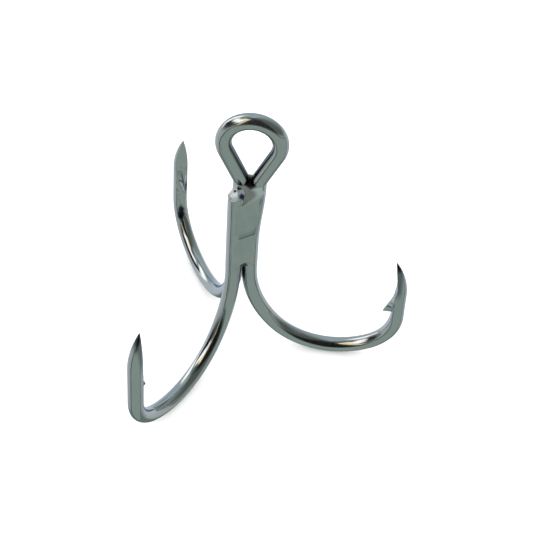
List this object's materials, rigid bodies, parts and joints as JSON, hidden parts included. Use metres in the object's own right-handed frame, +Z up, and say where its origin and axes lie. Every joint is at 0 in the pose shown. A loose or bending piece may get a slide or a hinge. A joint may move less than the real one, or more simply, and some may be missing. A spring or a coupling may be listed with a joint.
{
  "type": "treble hook",
  "caption": "Barbed treble fishing hook of polished round wire with a brazed shank and a ring eye for the line.",
  "frame": {"origin": "centre of the line eye's hole, where a line or split ring passes", "axes": "+Z up along the shank, from the bends to the eye; +Y along the axis of the eye's hole; +X in the eye's plane, towards the right hook of the double wire"},
  "size_m": [0.0236, 0.0269, 0.0276],
  "materials": {
    "plated_wire": "polished nickel plate over carbon steel wire, with fine drawing lines",
    "plated_braze": "nickel plate over braze, slightly uneven"
  },
  "bodies": {
    "root": {"double_hook": "plated_wire", "single_hook": "plated_wire", "front_braze_seam": "plated_braze", "left_braze_seam": "plated_braze", "right_braze_seam": "plated_braze", "core_braze": "plated_braze", "neck_braze": "plated_braze"}
  },
  "joints": []
}
